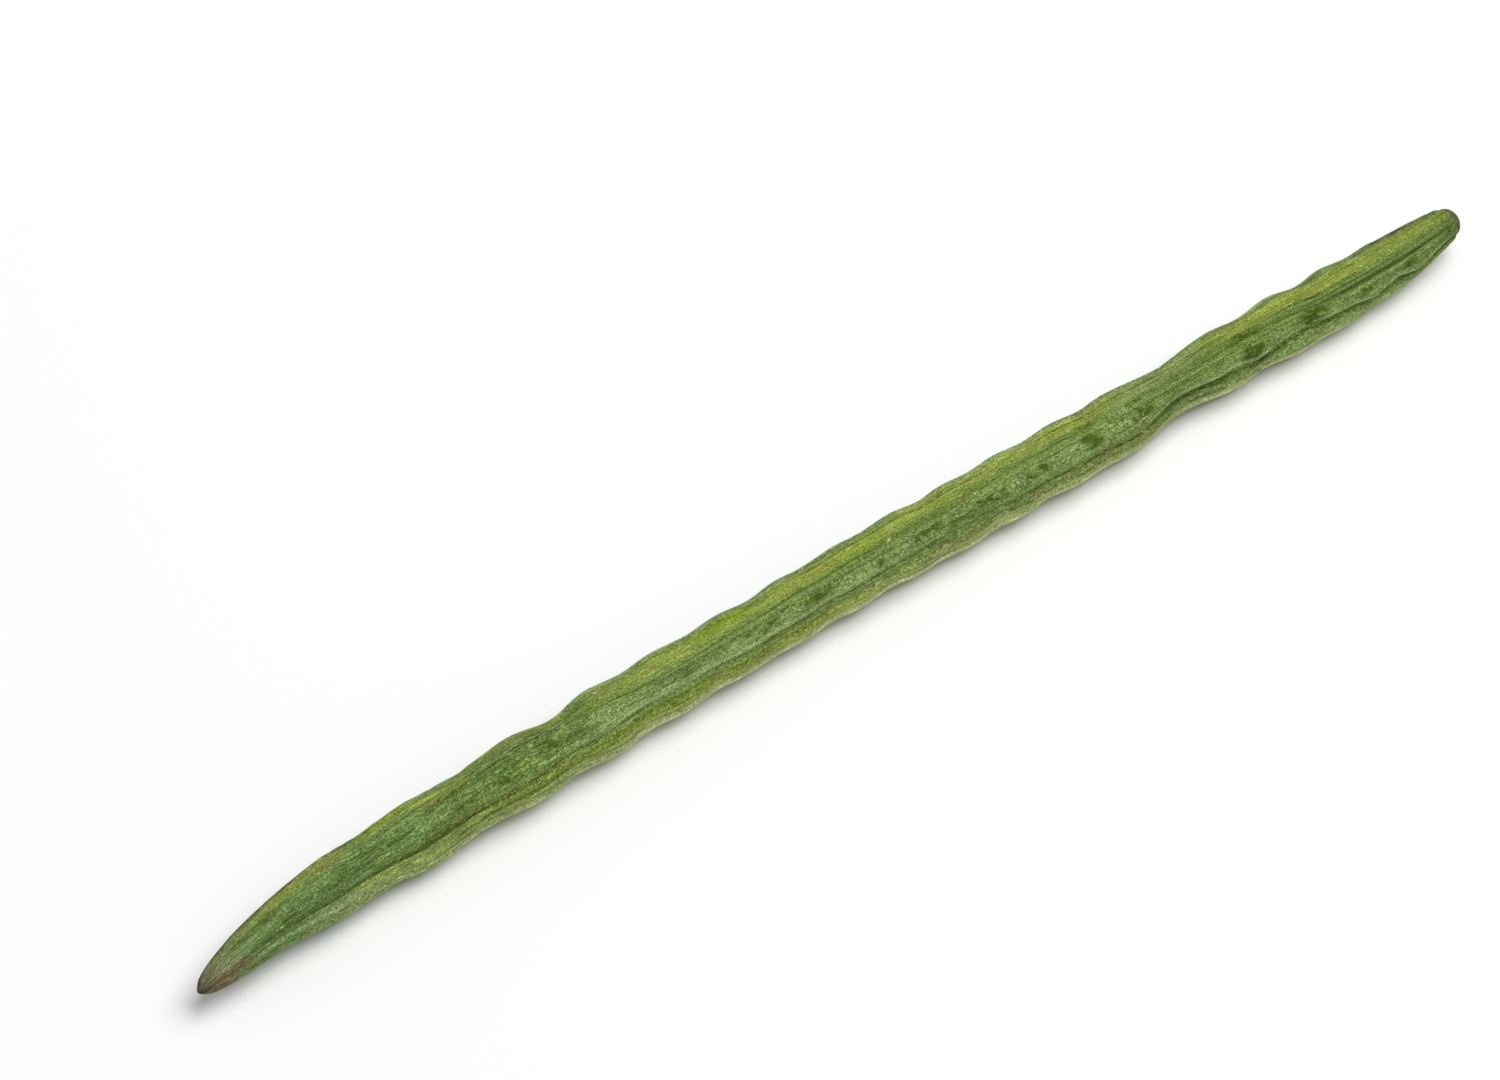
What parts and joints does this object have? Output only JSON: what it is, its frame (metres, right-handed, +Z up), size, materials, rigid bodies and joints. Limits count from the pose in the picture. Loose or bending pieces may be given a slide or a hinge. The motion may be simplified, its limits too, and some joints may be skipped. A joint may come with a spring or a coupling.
{
  "type": "moringa pod",
  "caption": "Long slim fresh seed pod lying flat, ribbed along its length and swollen over each seed, pointed at one end and rounded to a stalk scar at the other.",
  "frame": {"origin": "on the surface that the pod lies on, under the middle of its bounding box", "axes": "+X along the pod from its pointed tip to its stalk end, +Y across it, +Z up from the surface"},
  "size_m": [0.4501, 0.0258, 0.0191],
  "materials": {
    "pod_skin": "matt fresh green plant skin with paler yellow-green ribs and a light powdery bloom"
  },
  "bodies": {
    "root": {"pod": "pod_skin"}
  },
  "joints": []
}
